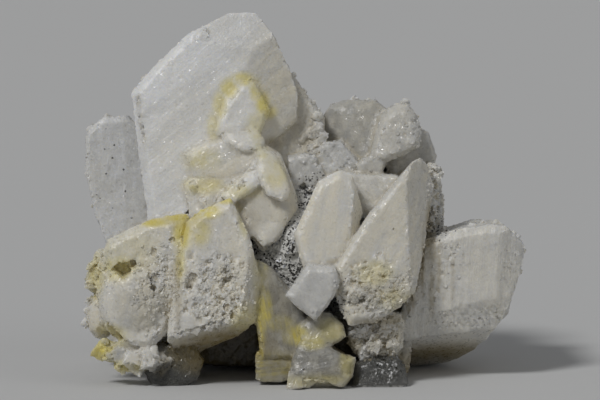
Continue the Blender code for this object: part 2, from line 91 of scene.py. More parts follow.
# %% Node helpers
def add(tree, kind, inputs=None, out=0, **settings):
    """Adds a node, sets it up, joins or fills its inputs, and returns one of its outputs."""
    made = tree.nodes.new(kind)
    for name, value in settings.items():
        setattr(made, name, value)
    for name, value in (inputs or {}).items():
        if isinstance(value, bpy.types.NodeSocket):
            tree.links.new(value, made.inputs[name])
        else:
            made.inputs[name].default_value = value
    return made.outputs[out]


def tree_of(*values):
    """The node tree of the first socket among the values."""
    return next(value.id_data for value in values if isinstance(value, bpy.types.NodeSocket))


def calc(operation, *values):
    """Arithmetic on numbers and sockets, with one socket or more."""
    return add(tree_of(*values), "ShaderNodeMath", dict(enumerate(values)), operation=operation)


def times(*values):
    """The product of two or more numbers or sockets."""
    result = values[0]
    for value in values[1:]:
        result = calc("MULTIPLY", result, value)
    return result


def plus(first, second):
    """The sum of two numbers or sockets."""
    return calc("ADD", first, second)


def minus(first, second):
    """The difference of two numbers or sockets."""
    return calc("SUBTRACT", first, second)


def vector_calc(operation, *values):
    """Arithmetic on vectors. SCALE takes a vector and a number."""
    places = (0, 3) if operation == "SCALE" else (0, 1)
    return add(tree_of(*values), "ShaderNodeVectorMath", dict(zip(places, values)), operation=operation)


def remap(value, low, high, to_low=0.0, to_high=1.0, style="SMOOTHSTEP"):
    """Takes the range low to high to another range, and holds it there outside."""
    ends = {0: value, 1: low, 2: high, 3: to_low, 4: to_high}
    return add(value.id_data, "ShaderNodeMapRange", ends, interpolation_type=style)


def cloud(where, scale, detail, rough=0.5):
    """A soft noise, as a number round one half."""
    inputs = {"Vector": where, "Scale": scale, "Detail": detail, "Roughness": rough}
    return add(where.id_data, "ShaderNodeTexNoise", inputs)


def cell_colour(where, scale):
    """A random colour for each cell of a Voronoi pattern."""
    return add(where.id_data, "ShaderNodeTexVoronoi", {"Vector": where, "Scale": scale}, out="Color")


def shape_tree(name, sizes):
    """An empty geometry tree with named inputs. Returns it, its input node and the inputs' identifiers."""
    tree = bpy.data.node_groups.new(name, "GeometryNodeTree")
    tree.interface.new_socket("Geometry", in_out="INPUT", socket_type="NodeSocketGeometry")
    known = {}
    for title, value in sizes.items():
        kind = "NodeSocketInt" if isinstance(value, int) else "NodeSocketFloat"
        socket = tree.interface.new_socket(title, in_out="INPUT", socket_type=kind)
        socket.default_value = value
        known[title] = socket.identifier
    tree.interface.new_socket("Geometry", in_out="OUTPUT", socket_type="NodeSocketGeometry")
    return tree, tree.nodes.new("NodeGroupInput"), known


def close_tree(tree, geometry, finish):
    """Ends a geometry tree: instances become real faces, and everything gets its finish."""
    real = add(tree, "GeometryNodeRealizeInstances", {"Geometry": geometry})
    coated = add(tree, "GeometryNodeSetMaterial", {"Geometry": real, "Material": finish})
    tree.links.new(coated, tree.nodes.new("NodeGroupOutput").inputs[0])


def mesh_through(obj, modifier):
    """The plain mesh that an object has behind its modifier, which is then removed."""
    graph = bpy.context.evaluated_depsgraph_get()
    mesh = bpy.data.meshes.new_from_object(obj.evaluated_get(graph), depsgraph=graph)
    obj.modifiers.remove(modifier)
    return mesh


def grown(obj, tree, known, sizes):
    """The plain mesh that a geometry tree makes of an object."""
    modifier = obj.modifiers.new(tree.name, "NODES")
    modifier.node_group = tree
    for title, value in sizes.items():
        modifier[known[title]] = value
    return mesh_through(obj, modifier)


def named(tree, name, kind="FLOAT"):
    """Reads a named attribute inside a geometry tree."""
    return add(tree, "GeometryNodeInputNamedAttribute", {0: name}, data_type=kind)


# %% Helpers for objects and finishes
def linked(name, data):
    """A new object of a mesh, a lamp or a camera, in the scene."""
    obj = bpy.data.objects.new(name, data)
    bpy.context.scene.collection.objects.link(obj)
    return obj


def object_of(name, form):
    """A new object of a bmesh, which is freed."""
    mesh = bpy.data.meshes.new(name)
    form.to_mesh(mesh)
    form.free()
    return linked(name, mesh)


def fill(node, values):
    """Sets plain values on a node's own sockets."""
    for name, value in values.items():
        node.inputs[name].default_value = value


def new_finish(name):
    """A new material with its node tree and its shader."""
    material = bpy.data.materials.new(name)
    material.use_nodes = True
    return material, material.node_tree, material.node_tree.nodes["Principled BSDF"]


# %% [markdown]
# ## Studio
#
# The cluster stands on a plain pale floor, wide enough to fill the view from any side. A soft light from
# the upper left in front shows the steps on the faces, a weak one from the right opens the shadows, and the
# pale air does the rest. Sun lamps with a wide disc are used, because they light the whole floor evenly.

# %% Floor, lights and camera
FLOOR_RADIUS = 14.0
PAPER_TONE = (0.60, 0.60, 0.595, 1.0)
AIR_TONE, AIR_STRENGTH = (0.95, 0.97, 1.0, 1.0), 0.20
CAMERA_RISE, CAMERA_AWAY = math.radians(5.74), 1.2
VIEW_WIDTH, SENSOR_WIDTH = 0.2, 36.0
aim = Vector(place(-1.7, 0.0, 57.0))


def studio_floor():
    """A round floor, level with the plane that the specimen stands on."""
    form = bmesh.new()
    bmesh.ops.create_circle(form, cap_ends=True, segments=64, radius=FLOOR_RADIUS)
    floor = object_of("studio_floor", form)
    paper, _, shader = new_finish("pale_paper")
    fill(shader, {"Base Color": PAPER_TONE, "Roughness": 0.9, "Specular IOR Level": 0.2})
    floor.data.materials.append(paper)
    return floor


def soft_sun(name, strength, disc, from_left, rise):
    """A sun with a disc that many degrees wide, turned to the left of straight in front, and raised."""
    light = bpy.data.lights.new(name, "SUN")
    light.energy = strength
    light.angle = math.radians(disc)
    turn, up = math.radians(from_left), math.radians(rise)
    way = Vector((-math.sin(turn) * math.cos(up), -math.cos(turn) * math.cos(up), math.sin(up)))
    linked(name, light).rotation_euler = (-way).to_track_quat("-Z", "Y").to_euler()


studio_floor()
soft_sun("key_light", strength=1.50, disc=14, from_left=38, rise=46)
soft_sun("side_light", strength=0.22, disc=40, from_left=-65, rise=25)
air = bpy.data.worlds.new("studio_air")
air.use_nodes = True
fill(air.node_tree.nodes["Background"], {"Color": AIR_TONE, "Strength": AIR_STRENGTH})
bpy.context.scene.world = air
bpy.context.scene.view_settings.view_transform = "Standard"

lens = bpy.data.cameras.new("camera")
lens.sensor_width = SENSOR_WIDTH
lens.lens = SENSOR_WIDTH * CAMERA_AWAY / VIEW_WIDTH
camera = linked("camera", lens)
camera.location = aim + CAMERA_AWAY * Vector((0.0, -math.cos(CAMERA_RISE), math.sin(CAMERA_RISE)))
camera.rotation_euler = (math.pi / 2 - CAMERA_RISE, 0.0, 0.0)
bpy.context.scene.camera = camera
print("The camera looks down by", round(math.degrees(CAMERA_RISE), 1), "degrees from", CAMERA_AWAY, "m away")

# %% [markdown]
# ## One crystal from the next
#
# The CAD node is a single solid, as the real cluster is. Still, each crystal has its own direction of
# growth, so we need to know which face belongs to which crystal. They are all convex, and where two of them
# meet there is an inward crease: a walk over the faces that never crosses such a crease stays on one
# crystal. It also stops at the faces that touch several crystals at once: the flat feet on the standing
# plane, the seat of the ore, and slivers.

# %% Find the crystals on the fused solid
CREASE = -0.035
SLIVER_WIDTH = 0.06 * MM
SEAT_GAP = 0.6 * MM
MERGE_WITHIN = 1e-7
DOWNWARD = -0.9


def merged_copy(node):
    """A bmesh of a CAD node with its loose triangles joined up."""
    form = bmesh.new()
    form.from_mesh(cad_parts[node].data)
    bmesh.ops.remove_doubles(form, verts=form.verts, dist=MERGE_WITHIN)
    return form


def shared_faces(form):
    """The faces that lie on the floor or on the ore's seat, or are slivers, as a set of their indices."""
    seat = merged_copy("galena_sphalerite_ore")
    seat_tree = BVHTree.FromBMesh(seat)
    seat.free()
    shared = set()
    for face in form.faces:
        middle = face.calc_center_median()
        longest = max(edge.calc_length() for edge in face.edges)
        on_floor = middle.z < SEAT_GAP and face.normal.z < DOWNWARD
        on_seat = seat_tree.find_nearest(middle)[3] < SEAT_GAP
        if on_floor or on_seat or face.calc_area() < SLIVER_WIDTH * longest:
            shared.add(face.index)
    return shared


def number_crystals(form):
    """One number for each face: faces of the same crystal share it."""
    form.faces.ensure_lookup_table()
    shared = shared_faces(form)
    number = np.full(len(form.faces), -1)
    crystal = 0
    for first in form.faces:
        if number[first.index] >= 0:
            continue
        waiting = [] if first.index in shared else [first]
        number[first.index] = crystal
        while waiting:
            face = waiting.pop()
            for edge in face.edges:
                if len(edge.link_faces) != 2 or edge.calc_face_angle_signed(0.0) < CREASE:
                    continue
                for other in edge.link_faces:
                    if number[other.index] < 0 and other.index not in shared:
                        number[other.index] = crystal
                        waiting.append(other)
        crystal += 1
    return number


solid = merged_copy("white_crystals")
solid.normal_update()
face_crystal = number_crystals(solid)
solid_tree = BVHTree.FromBMesh(solid)
print("The solid has", len(solid.faces), "faces on", face_crystal.max() + 1, "patches")

# %% [markdown]
# ## How each crystal grew
#
# A named crystal is found by a point on its face. Its row says how far its direction of growth leans to the
# right of upright, in degrees, how strong its steps, ribs and sugary skin are, how cream it is, and how grey:
# grey is partly a clearer crystal and partly painted shade, darkest on the low crystals near the floor.
# All the others take their turn from a seed.

# %% The named crystals
# The grey column is partly a clearer crystal and partly painted shade: the low crystals near the floor and
# the recess are made nearly black, and the set-back broad crystal darker, for the shade that falls on them.
#                     x    y    z   lean steps ribs sugar cream grey
NAMED_CRYSTALS = {
    "tall": ((-45, -17, 75), 50, 0.25, 0.4, 0.35, 0, 0),
    "high_plate": ((-33.4, -11.1, 112.1), 50, 0.25, 0.4, 0.35, 0, 0),
    "flank_edge": ((1.1, -1.7, 89.7), 20, 0.6, 0.2, 0.6, 1, 0.2),
    "flank": ((0, -5, 84), 20, 0.6, 0.2, 0.56, 1, 0.2),
    "arch": ((-20, -17, 89), 35, 0.3, 0.3, 0.3, 0.45, 0),
    "arch_foot": ((-20, -20, 79), 60, 0.4, 0.3, 0.4, 0.6, 0.04),
    "upper_step": ((-28, -19, 72), 60, 0.4, 0.4, 0.4, 0.85, 0.08),
    "lower_step": ((-33, -21, 60), 60, 0.4, 0.4, 0.4, 0.8, 0.08),
    "dome": ((-5, -24, 55), -28, 0.3, 0.5, 0.3, 0.95, 0.09),
    "dome_ridge": ((-19, -25, 64), 55, 0.4, 0.6, 0.45, 0.3, 0),
    "dome_shell": ((-9, -25, 65), -25, 0.3, 0.5, 0.35, 0.75, 0.05),
    "dome_low": ((-12, -25, 50), -40, 0.4, 0.6, 0.4, 0.85, 0.08),
    "left_slab": ((-66, -6, 62), 2, 0.35, 0.35, 0.55, 0.05, 0.18),
    "left_block": ((-48, -38, 46), 10, 0.5, 0.25, 0.55, 0.7, 0.1),
    "middle_block": ((-26, -42, 50), 10, 0.35, 0.25, 0.5, 0.85, 0.07),
    "column": ((-10, -38, 22), -12, 0.3, 1, 0.15, 1, 0.68),
    "column_foot": ((-10, -38, 5), 85, 0.5, 1, 0.2, 1, 0.66),
    "small_white": ((3, -46, 31), -35, 0.3, 0.8, 0.2, 0.35, 0.24),
    "shoulder": ((6, -42, 19), 30, 0.5, 0.4, 0.3, 1, 0.62),
    "lobed": ((6, -45, 9), 75, 0.5, 0.6, 0.2, 1, 0.68),
    "left_lobe_foot": ((-3.8, -45.4, 2.8), 30, 0.5, 0.4, 0.2, 1, 0.5),
    "right_lobe_foot": ((12, -44.8, 2.7), 30, 0.5, 0.4, 0.2, 1, 0.52),
    "side_lobe": ((15.3, -42.6, 8.9), 30, 0.5, 0.4, 0.2, 1, 0.5),
    "left_lobe": ((-67.9, -33.3, 20), 30, 0.6, 0.3, 0.55, 1, 0.15),
    "outer_knob": ((-66.4, -37.7, 11.8), 30, 0.6, 0.3, 0.5, 1, 0.2),
    "short_blade": ((7, -35, 55), 12, 0.2, 0.4, 0.22, 1, 0.04),
    "pointed_blade": ((25, -37, 48), 32, 0.25, 0.45, 0.25, 1, 0.14),
    "rough_root": ((26.7, -35.3, 14), 5, 0.8, 0.3, 0.8, 0.9, 0.05),
    "root_side": ((32, -20, 10), 5, 0.8, 0.3, 0.8, 1, 0.35),
    "broad": ((20, 0, 80), 8, 0.3, 0.3, 0.25, 0.75, 0.46),
    "middle_top": ((31, -5, 80), 25, 0.35, 0.4, 0.45, 0.6, 0.27),
    "right_top": ((40, 1, 72), 15, 0.4, 0.3, 0.35, 0.5, 0.3),
    "small_top": ((22, -8, 68), 15, 0.35, 0.3, 0.3, 0.7, 0.36),
    "wedge": ((23, -14, 60), -30, 0.6, 0.5, 0.35, 0.6, 0.18),
    "grey_nook": ((0, -11, 66), 10, 0.6, 0.3, 0.55, 0.25, 0.28),
    "sugary_strip": ((43, -17, 58), 5, 0.8, 0.1, 0.9, 0.2, 0.15),
    "right_crystal": ((50, -25, 38), 4, 0.35, 1, 0.28, 0.55, 0.14),
    "low_grey": ((24, -40, 5), 20, 0.4, 0.3, 0.3, 0.1, 0.94),
    "left_foot": ((-43, -38, 6), 40, 0.4, 0.6, 0.3, 0.4, 0.97),
    "recess": ((-26, -7, 9), 40, 0.5, 0.4, 0.4, 1, 0.97),
}
TRAITS = ("steps", "ribs", "sugar", "cream", "grey_and_shade")
USUAL = (0.9, 0.35, 0.55, 0.5, 0.08)
TURN_SEED, KNOT_SEED = 7, 3


def growth_of_crystals():
    """The turn into each crystal's own directions, and its traits, as arrays by crystal number."""
    count = face_crystal.max() + 1
    dice = np.random.default_rng(TURN_SEED)
    leans = dice.uniform(-60, 60, count)
    tips = dice.uniform(-12, 12, count)
    traits = np.tile(USUAL, (count, 1))
    traits[:, 3] += dice.uniform(-0.3, 0.5, count)
    traits[:, 4] += dice.uniform(0.0, 0.15, count)
    for point, lean, *amounts in NAMED_CRYSTALS.values():
        crystal = face_crystal[solid_tree.find_nearest(Vector(place(*point)))[2]]
        leans[crystal], tips[crystal], traits[crystal] = lean, 0.0, amounts
    angles = np.radians(np.stack([tips, -leans, np.zeros(count)], axis=1))
    return np.array([Euler(angle).to_matrix() for angle in angles]), traits


turns, traits = growth_of_crystals()


def crystal_at(points):
    """The number of the crystal that each point belongs to."""
    return np.array([face_crystal[solid_tree.find_nearest(point)[2]] for point in points])


# %% [markdown]
# ## Where the edges and creases are
#
# The real crystals are flat on their faces and finely toothed along their edges; the creases between them are
# coloured a darker tan, and the sharp edges get a painted highlight. So we also need to know how near a point
# is to such a line: the sharp outward edges and the inward creases of the solid are sampled every half
# millimetre into two search trees.

# %% Sample the edges and creases
EDGE_ANGLE, CREASE_ANGLE = math.radians(42), math.radians(-25)
LINE_SAMPLE = 0.5 * MM
SHORTEST_CREASE = 4 * MM
EDGE_WIDTH, CREASE_WIDTH = 1.1 * MM, 1.8 * MM


def line_samples(form, wanted, shortest=0.0):
    """A search tree of points along the solid's edges whose angle is wanted: outward ones are above zero."""
    spots = []
    for edge in form.edges:
        fits = len(edge.link_faces) == 2 and edge.calc_length() >= shortest
        if fits and wanted(edge.calc_face_angle_signed(0.0)):
            start, end = (vert.co for vert in edge.verts)
            count = max(1, round(edge.calc_length() / LINE_SAMPLE))
            spots += [start.lerp(end, (i + 0.5) / count) for i in range(count)]
    tree = KDTree(len(spots))
    for i, spot in enumerate(spots):
        tree.insert(spot, i)
    tree.balance()
    print("A search tree of", len(spots), "samples")
    return tree


sharp_edges = line_samples(solid, lambda angle: angle > EDGE_ANGLE)
creases = line_samples(solid, lambda angle: angle < CREASE_ANGLE, SHORTEST_CREASE)


def nearness(lines, points, width):
    """1 on a sampled line, down to 0 at the width away from it."""
    away = np.array([lines.find(point)[2] for point in points])
    return np.clip(1.0 - away / width, 0.0, 1.0)


# %% [markdown]
# ## Where the skin is pitted, bare or stained
#
# Each patch is a soft ellipsoid in millimetres: its centre, its three radii and its strength. Pits lie low
# on the blocks, yellow runs along creases and over the arch, tan lies in the hollows as stain and under the
# blocks and near the floor as painted shade, and grey marks crystals that are clearer than the rest and
# paints shade on the low crystals and in the deep nooks. Waxy places have soft, rounded steps, and glinting
# ones more of the tiny facets that catch the light.

# %% The patches
PITTED = [
    ((-27, -42, 31), (10, 9, 12), 1), ((-46, -40, 34), (9, 8, 12), 0.7), ((22, -38, 31), (12, 9, 9), 1),
    ((23, -34, 15), (10, 7, 8), 0.9), ((-66, -30, 36), (6, 9, 12), 0.6), ((40, -22, 34), (7, 9, 14), 0.4),
    ((43, -16, 58), (5, 9, 14), 0.9), ((35, -4, 80), (5, 9, 7), 0.3), ((3, -4, 76), (6, 10, 7), 0.35),
    ((44, -22, 42), (8, 9, 8), 0.35), ((-45, -40, 22), (8, 8, 8), 0.35), ((12, -2, 68), (9, 9, 7), 0.3),
    ((-30, 40, 40), (40, 14, 40), 0.3),
]
CREAMY = [
    ((5, -43, 6), (15, 8, 9), 1), ((-54, -42, 28), (10, 10, 12), 1), ((-28, -20, 70), (12, 8, 14), 1),
    ((-66, -30, 30), (6, 9, 16), 1), ((-8, -9, 96), (13, 10, 22), 0.95),
    ((-32, -16, 78), (16, 10, 18), 0.4), ((-22, -8, 114), (12, 10, 9), 0.15),
    ((-28, -42, 31), (14, 10, 13), 1), ((-48, -38, 34), (12, 8, 14), 0.85),
    ((24, -38, 30), (13, 10, 9), 0.9),
]
YELLOW = [
    ((-30.2, -17, 83), (2, 8, 4.5), 0.45), ((-28, -17, 90), (2.4, 8, 4.5), 0.55),
    ((-25, -16, 95.5), (3, 8, 3.2), 0.75), ((-20.5, -16, 98.3), (4.2, 8, 2.2), 0.75),
    ((-16.2, -16, 95), (2, 8, 4), 0.65), ((-13.6, -16, 90.5), (2.4, 8, 4), 0.85),
    ((-11.2, -15, 87), (2.6, 8, 2.4), 0.75), ((-15, -18, 83), (4, 6, 5), 0.4),
    ((-34.3, -20, 72.5), (6, 8, 3.6), 0.55), ((-33.7, -22, 64), (6.5, 8, 2.8), 0.5),
    ((-14, -24, 75.5), (3, 7, 4), 0.45), ((-9.5, -24, 68.5), (4.2, 7, 5), 0.5),
    ((-20, -25, 62), (6, 7, 2.4), 0.45), ((-26, -24, 56.5), (5, 7, 2), 0.4),
    ((-50, -37, 53.4), (6.5, 6, 1.7), 1), ((-41, -37, 55.2), (7, 6, 2.3), 1),
    ((-33, -37, 57), (5.5, 6, 2.4), 1), ((-26, -36, 61.2), (5, 6, 1.6), 0.9),
    ((-39.6, -37, 50), (3.2, 6, 6), 0.85), ((-34, -38, 51), (3.4, 5, 5), 0.6),
    ((-40.3, -39, 41), (1.7, 6, 6.5), 0.6), ((-19.5, -38, 56), (2, 5, 7), 0.5),
    ((-14.6, -36, 38), (2.6, 8, 14), 0.35), ((-13.4, -37, 25), (2.6, 5, 6), 0.9),
    ((-14.9, -36, 14), (1.6, 6, 10), 0.95), ((-8, -38, 20.5), (4, 6, 2.6), 0.45),
    ((-2.4, -38, 16.8), (4.5, 6, 3), 0.85), ((2.2, -43, 15.4), (4.5, 5, 2.4), 0.55),
    ((5, -44, 2.6), (12, 6, 2.2), 0.35), ((13.5, -43, 8), (2.4, 5, 5), 0.45),
    ((9, -42, 19), (5, 5, 4), 0.4), ((-65.5, -34, 11.5), (5, 6, 3.6), 1),
    ((-58.5, -36, 6.8), (6.5, 6, 2.4), 0.75), ((-60, -36, 38.5), (5.5, 5, 4.5), 0.55),
    ((-67, -28, 35), (4.5, 8, 8), 0.5), ((-62.5, -36, 16.5), (6, 6, 4), 0.55),
    ((22.5, -38, 37), (6, 5, 4), 0.35), ((29, -37, 28.5), (6, 6, 4), 0.35),
    ((-10, -37, 6), (8, 5, 5), 0.5), ((-19.5, -39, 20), (5, 7, 7), 0.5), ((-58, -34, 44), (10, 9, 8), 0.22),
    ((-30, 44, 60), (16, 10, 10), 0.45), ((-24, 26, 100), (8, 8, 8), 0.35),
    ((38, 34, 40), (10, 10, 12), 0.35), ((-50, 34, 30), (10, 10, 8), 0.45),
    ((-16, 40, 16), (12, 8, 5), 0.6), ((24, 36, 70), (9, 9, 7), 0.5), ((60, 14, 38), (7, 10, 6), 0.5),
    ((-60, 26, 62), (8, 9, 8), 0.4),
]
TAN_AND_SHADE = [
    ((-9, -12, 76.5), (5, 7, 2.6), 0.8), ((-1, -6, 80), (6, 6, 7), 0.25),
    ((24, -34, 15), (9, 5, 5), 0.25), ((23, -36, 21.5), (10, 6, 1.6), 0.8),
    ((48, -12, 3), (24, 16, 7), 1), ((28, -37, 30), (9, 5, 5), 0.25), ((-27, -30, 12), (17, 15, 8), 1),
    ((-10, -30, 8), (9, 12, 6), 0.4), ((13, -28, 12), (5, 10, 6), 0.8), ((-30, -6, 10), (20, 16, 12), 0.6),
    ((-15, 30, 12), (22, 12, 9), 0.4), ((30, 30, 60), (12, 12, 10), 0.35), ((-42, 20, 3), (26, 26, 5), 0.4),
    ((30, 20, 3), (26, 26, 5), 0.4), ((-18, -26, 53), (4, 6, 4), 0.4), ((-23, -24, 58), (6, 5, 1.6), 0.35),
    ((40.5, -24, 50), (1.4, 8, 9), 0.8), ((36, -24, 36), (1.6, 8, 8), 0.6),
    ((-41, -40, 30), (1.2, 6, 14), 0.5), ((-10, -36, 22), (7, 6, 16), 0.15),
    ((-41, -37, 54), (13, 6, 2.6), 0.22), ((38.3, -24, 41), (0.8, 8, 11), 0.8),
    ((42.2, -25, 45), (0.6, 8, 6), 0.6), ((35.2, -24, 30), (0.7, 8, 7), 0.7),
    ((43.8, -25, 38), (0.7, 8, 9), 0.55), ((48.3, -25, 33), (0.6, 8, 8), 0.35),
    ((41.4, -25, 29), (0.8, 8, 8), 0.5), ((-34, 34, 34), (14, 10, 8), 0.45),
    ((48, 28, 22), (12, 10, 7), 0.4), ((14, 34, 50), (12, 8, 5), 0.4),
]
GREY_AND_SHADE = [
    ((-22, -8, 114), (12, 10, 8), 0.12), ((-6, -9, 96), (12, 10, 20), 0.1),
    ((-54, -42, 28), (10, 10, 10), 0.22), ((0, -9, 64), (8, 9, 9), 0.35), ((12, -34, 25), (4, 7, 8), 0.5),
    ((-8, -30, 46), (5, 10, 6), 0.2), ((45, -16, 48), (5, 8, 5), 0.4), ((-54, -8, 60), (4, 8, 24), 0.22),
    ((48, -12, 2), (24, 16, 6), 0.35), ((62, 14, 30), (12, 16, 16), 0.2), ((8, 30, 70), (20, 16, 12), 0.25),
    ((-27, -24, 8), (16, 12, 7), 0.6), ((-43, -38, 3.5), (9, 9, 6), 0.95), ((13, -22, 8), (6, 10, 7), 0.85),
    ((24, -38, 4), (10, 9, 5), 0.95), ((-63, -37, 12), (6, 7, 6), 0.35), ((58, -4, 44), (9, 14, 8), 0.1),
]
GLINTING = [
    ((28, -40, 7), (8, 6, 5), 1), ((55, -24, 20), (20, 6, 5), 1), ((67, -22, 40), (4, 6, 5), 0.8),
    ((-55, -43, 32), (7, 6, 7), 0.7), ((-50, -40, 8), (9, 6, 5), 0.7), ((33, -5, 84), (6, 8, 6), 0.6),
    ((39, -24, 60), (3, 8, 14), 0.6), ((-15, -26, 63), (8, 6, 4), 0.6), ((-40, -36, 8), (10, 8, 8), 0.8),
]
WAXY = [
    ((-20, -20, 76), (19, 14, 26), 1), ((3, -46, 31), (9, 8, 10), 0.2),
    ((-12, -24, 52), (12, 10, 10), 1), ((5, -46, 8), (10, 8, 9), 1), ((19, -4, 84), (11, 10, 9), 0.8),
    ((33, -6, 84), (7, 9, 9), 0.5),
]
SPECKED = [
    ((-7, -22, 39), (5, 8, 4), 0.5), ((3, -10, 61), (5, 9, 7), 0.9), ((12, -35, 27), (3, 7, 8), 0.8),
    ((45, -16, 49), (4, 8, 5), 0.7), ((6, 30, 40), (36, 16, 34), 0.1), ((-64, -4, 66), (10, 8, 16), 0.025),
]
PATCH_REACH = 1.5


def patch_mask(points, patches):
    """How far each point lies inside any of the soft ellipsoids: from 0 outside to the patch's strength."""
    mask = np.zeros(len(points))
    for centre, radii, strength in patches:
        reach = np.linalg.norm((points - place(*centre)) / (np.array(radii) * MM), axis=1)
        soft = np.clip(PATCH_REACH - reach, 0.0, 1.0)
        mask = np.maximum(mask, strength * soft * soft * (3 - 2 * soft))
    return mask


# %% [markdown]
# ## The finish of the white crystals
#
# The crystals are milky: light goes in, scatters and comes out nearby, which is what subsurface scattering
# does. Over the white lies a little cream, a painted highlight along the sharp edges, then grey where a
# crystal is clearer and painted shade on the low and set-back crystals, painted shade in the hollows, yellow
# stain, tan stain with painted shade under the blocks, and fine dark specks near the ore. The sugary sparkle
# comes from
# tiny facets: every cell of a Voronoi pattern tips the surface its own way, and a few of the cells are smooth
# as glass. All of it reads values that are stored on the points of the skin later.

# %% The white crystal material
def reading(tree, name, out="Fac"):
    """Reads a value stored on the points, inside a material."""
    return add(tree, "ShaderNodeAttribute", out=out, attribute_name=name)


def blend(amount, first, second):
    """Mixes two colours."""
    return add(tree_of(amount), "ShaderNodeMix", {0: amount, 6: first, 7: second}, out=2, data_type="RGBA")


def colour_parts(colour):
    """The three channels of a colour, which serve as three random numbers of a cell."""
    return add(colour.id_data, "ShaderNodeSeparateColor", {0: colour}).node.outputs


def tipped_facets(cells, tilt, normal):
    """The normal, tipped in each cell by its own random amount up to tilt."""
    way = vector_calc("SUBTRACT", cells, (0.5, 0.5, 0.5))
    way = vector_calc("SCALE", vector_calc("SCALE", way, tilt), 2.0)
    return vector_calc("NORMALIZE", vector_calc("ADD", normal, way))


# The rim white is a painted highlight and the hollow tan is painted shade; the clear grey and the tan stain
# are partly the crystals' own tones and partly painted shade.
NEUTRAL, CREAM = (0.80, 0.80, 0.795, 1.0), (0.79, 0.745, 0.63, 1.0)
VEIL, RIM_HIGHLIGHT_WHITE = (0.66, 0.655, 0.635, 1.0), (0.87, 0.865, 0.85, 1.0)
CLEAR_GREY_AND_SHADE, HOLLOW_SHADE_TAN = (0.040, 0.040, 0.034, 1.0), (0.56, 0.48, 0.32, 1.0)
YELLOW_STAIN, TAN_STAIN_AND_SHADE = (0.72, 0.615, 0.14, 1.0), (0.27, 0.205, 0.075, 1.0)
DARK_SPECK = (0.045, 0.042, 0.04, 1.0)
SOFT_SCALE, MIDDLE_SCALE, FINE_SCALE = 60.0, 330.0, 1300.0
BAND_SCALE, FIBRE_SCALE, LINE_SCALE = 190.0, 1100.0, 1700.0
SPECK_SCALE, FACET_SCALE = 1900.0, 1500.0
GLASSY_ABOVE = 0.88


